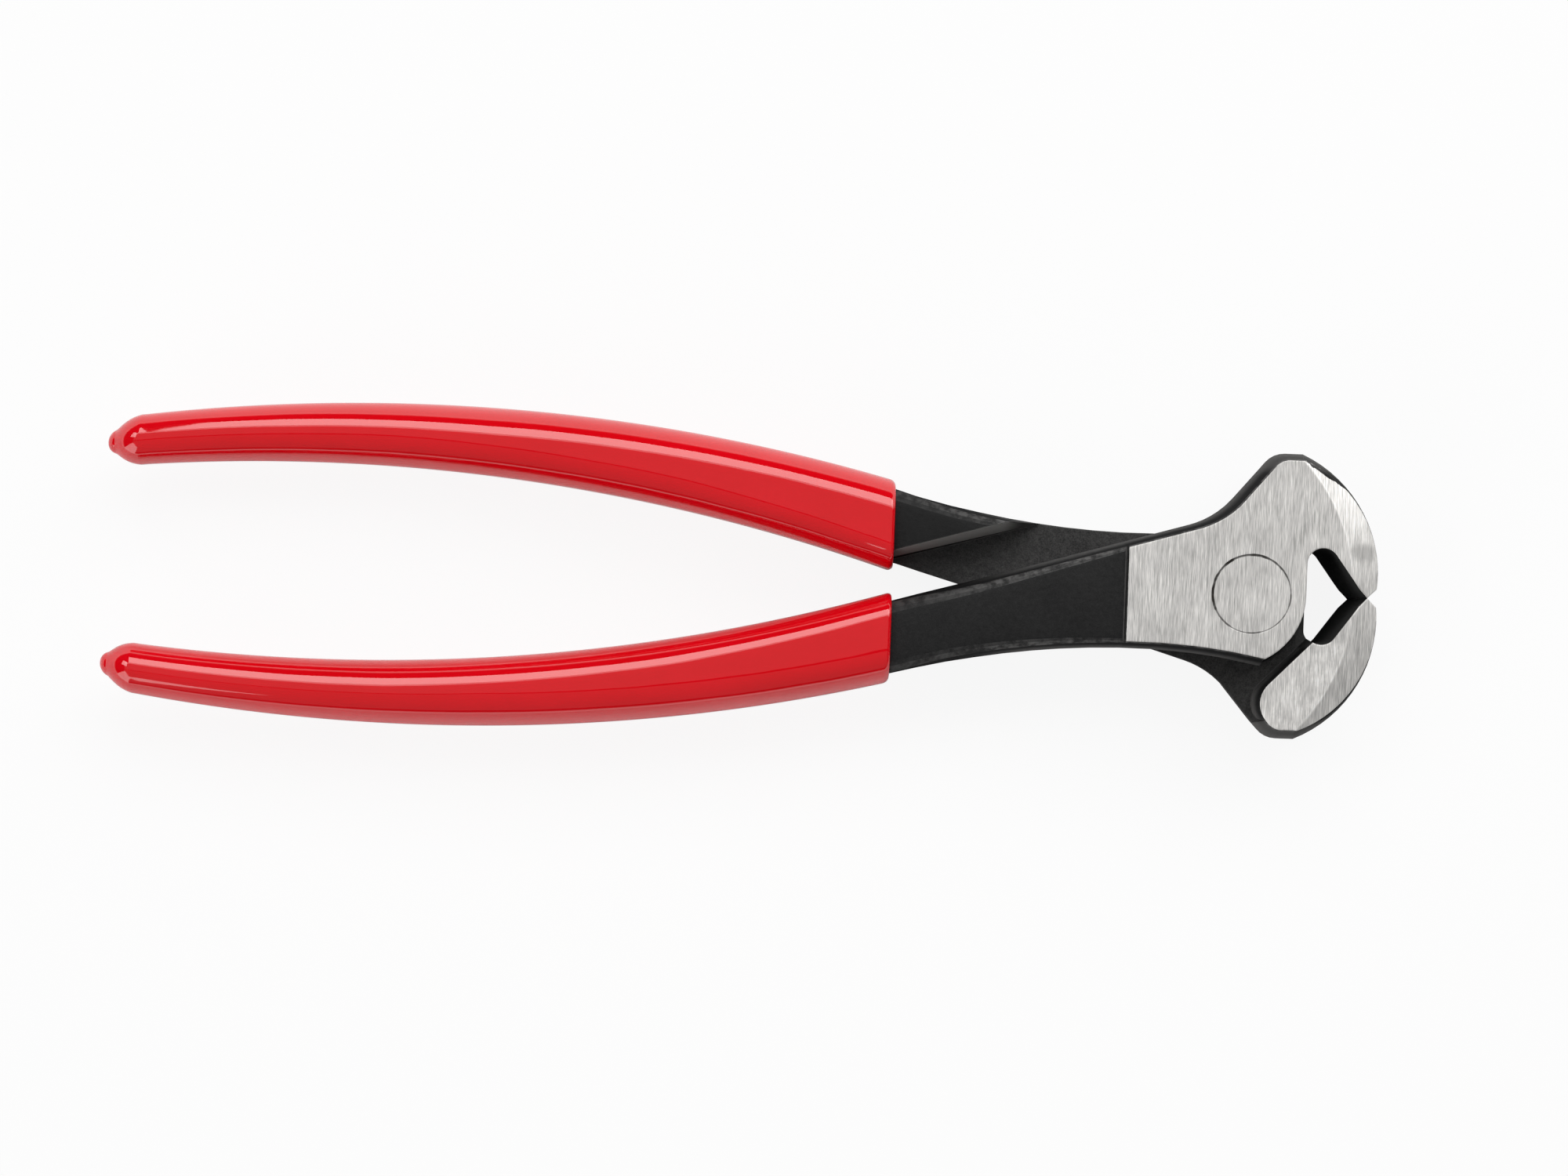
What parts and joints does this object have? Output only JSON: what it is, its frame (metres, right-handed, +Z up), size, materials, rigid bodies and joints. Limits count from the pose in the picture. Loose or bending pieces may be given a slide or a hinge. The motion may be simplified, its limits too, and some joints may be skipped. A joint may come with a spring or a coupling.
{
  "type": "end cutting nippers",
  "caption": "Hand nippers with wide end cutting jaws, forged levers crossed in a lap joint on a flush rivet, and dip coated grips; squeezing the handles closes the cutting edges.",
  "frame": {"origin": "where the rivet axis meets the ground face that the head rests on", "axes": "+X along the tool towards the jaws, +Y towards the jaw of the upper lever, +Z up along the rivet axis"},
  "size_m": [0.2, 0.0506, 0.022],
  "materials": {
    "forged_steel": "black phosphated forging with bright ground head faces and jaw bevels",
    "rivet_steel": "ground flush with the head",
    "grip_coat": "glossy red dipped soft PVC"
  },
  "bodies": {
    "lower_half": {"lower_lever": "forged_steel", "lower_grip": "grip_coat", "pivot_rivet": "rivet_steel"},
    "upper_half": {"upper_lever": "forged_steel", "upper_grip": "grip_coat"}
  },
  "joints": [
    {"name": "jaw_pivot", "type": "hinge", "parent": "lower_half", "child": "upper_half", "pos_m": [0, 0, 0.011], "axis": [0, 0, 1], "range_deg": [0, 55]}
  ]
}
